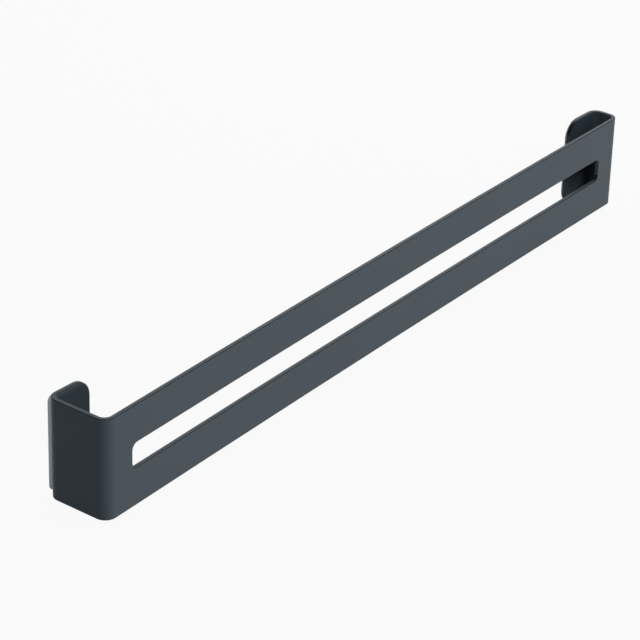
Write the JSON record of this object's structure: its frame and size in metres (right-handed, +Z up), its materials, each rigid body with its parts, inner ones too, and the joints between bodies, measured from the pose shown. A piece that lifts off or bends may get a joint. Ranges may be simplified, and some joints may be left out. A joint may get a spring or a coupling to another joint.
{
  "type": "pot lid holder",
  "caption": "Long low rail of folded dark sheet steel with a slot along its front plate, side walls of unequal depth, and rear tabs that stick to a door or wall with foam pads.",
  "frame": {"origin": "middle of the underside of the bounding box: midway along the length, midway between the front plate and the pads' rear faces, on the plane of the lower edges", "axes": "+X along the mounting plane from the deep left end to the shallow right end, +Y into the door or wall that the pads stick to, +Z up"},
  "size_m": [0.3878, 0.0335, 0.0453],
  "materials": {
    "coated_steel": "satin anthracite powder coat with a very fine texture",
    "adhesive_foam": "matt light grey closed-cell foam tape"
  },
  "bodies": {
    "root": {"bracket": "coated_steel", "left_pad": "adhesive_foam", "right_pad": "adhesive_foam"}
  },
  "joints": []
}
